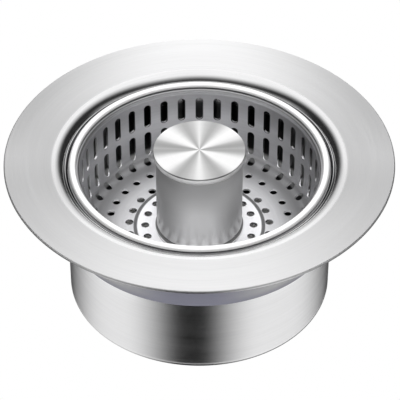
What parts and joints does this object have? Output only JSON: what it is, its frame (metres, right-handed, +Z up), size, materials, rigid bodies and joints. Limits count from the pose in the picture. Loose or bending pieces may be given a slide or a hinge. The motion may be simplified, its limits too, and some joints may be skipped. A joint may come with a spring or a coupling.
{
  "type": "pop-up drain plug",
  "caption": "Kitchen sink drain: brushed steel flange with a deep sleeve, a lift-out perforated strainer basket and a press knob that works a pop-up stopper.",
  "frame": {"origin": "middle of the sleeve's foot, on the surface that the drain stands on", "axes": "+Z up along the drain's axis, out of the sink; the picture's front is towards -Y"},
  "size_m": [0.1142, 0.1143, 0.0496],
  "materials": {
    "brushed_steel": "turned brushing in fine rings",
    "drawn_steel": "drawn sheet, soft sheen",
    "polished_steel": "polished",
    "satin_steel": "satin",
    "spun_steel": "spun face with radial streaks of light",
    "spring_steel": "drawn wire",
    "brass": "machined",
    "grey_silicone": "matte, moulded",
    "clear_silicone": "matte, moulded",
    "black_rubber": "matte, moulded",
    "white_nylon": "moulded"
  },
  "bodies": {
    "flange": {"sink_flange": "brushed_steel", "neck_gasket": "grey_silicone"},
    "seal": {"rim_seal": "clear_silicone"},
    "basket": {"strainer_basket": "drawn_steel", "basket_rim": "polished_steel", "post_collar": "polished_steel", "core_housing": "brass", "housing_washer": "drawn_steel", "housing_nut": "brass", "stem_bush": "white_nylon", "stem_o_ring": "black_rubber", "core_spring": "spring_steel", "latch_cam": "white_nylon"},
    "plug": {"knob_cap": "spun_steel", "knob_shell": "satin_steel", "cap_insert": "white_nylon", "glide_ring": "white_nylon", "rotor_clip": "spring_steel", "stem": "drawn_steel", "seal_plate": "drawn_steel", "seal_disc": "black_rubber", "seal_retainer": "drawn_steel", "stem_nut": "brass"},
    "rotor": {"latch_rotor": "white_nylon"}
  },
  "joints": [
    {"name": "basket_lift", "type": "slide", "parent": "flange", "child": "seal", "axis": [0, 0, 1], "range_m": [0, 0.05]},
    {"name": "basket_turn", "type": "hinge", "parent": "seal", "child": "basket", "pos_m": [0, 0, 0.0428], "axis": [0, 0, 1], "continuous": true},
    {"name": "plug_pop", "type": "slide", "parent": "basket", "child": "plug", "axis": [0, 0, 1], "range_m": [0, 0.008], "deforming": ["core_spring"]},
    {"name": "rotor_turn", "type": "hinge", "parent": "plug", "child": "rotor", "pos_m": [0, 0, 0.0312], "axis": [0, 0, 1], "range_deg": [0, 45]}
  ],
  "couplings": [
    {"joint": "rotor_turn", "follows": "plug_pop", "rad_per_m": 98.175}
  ]
}
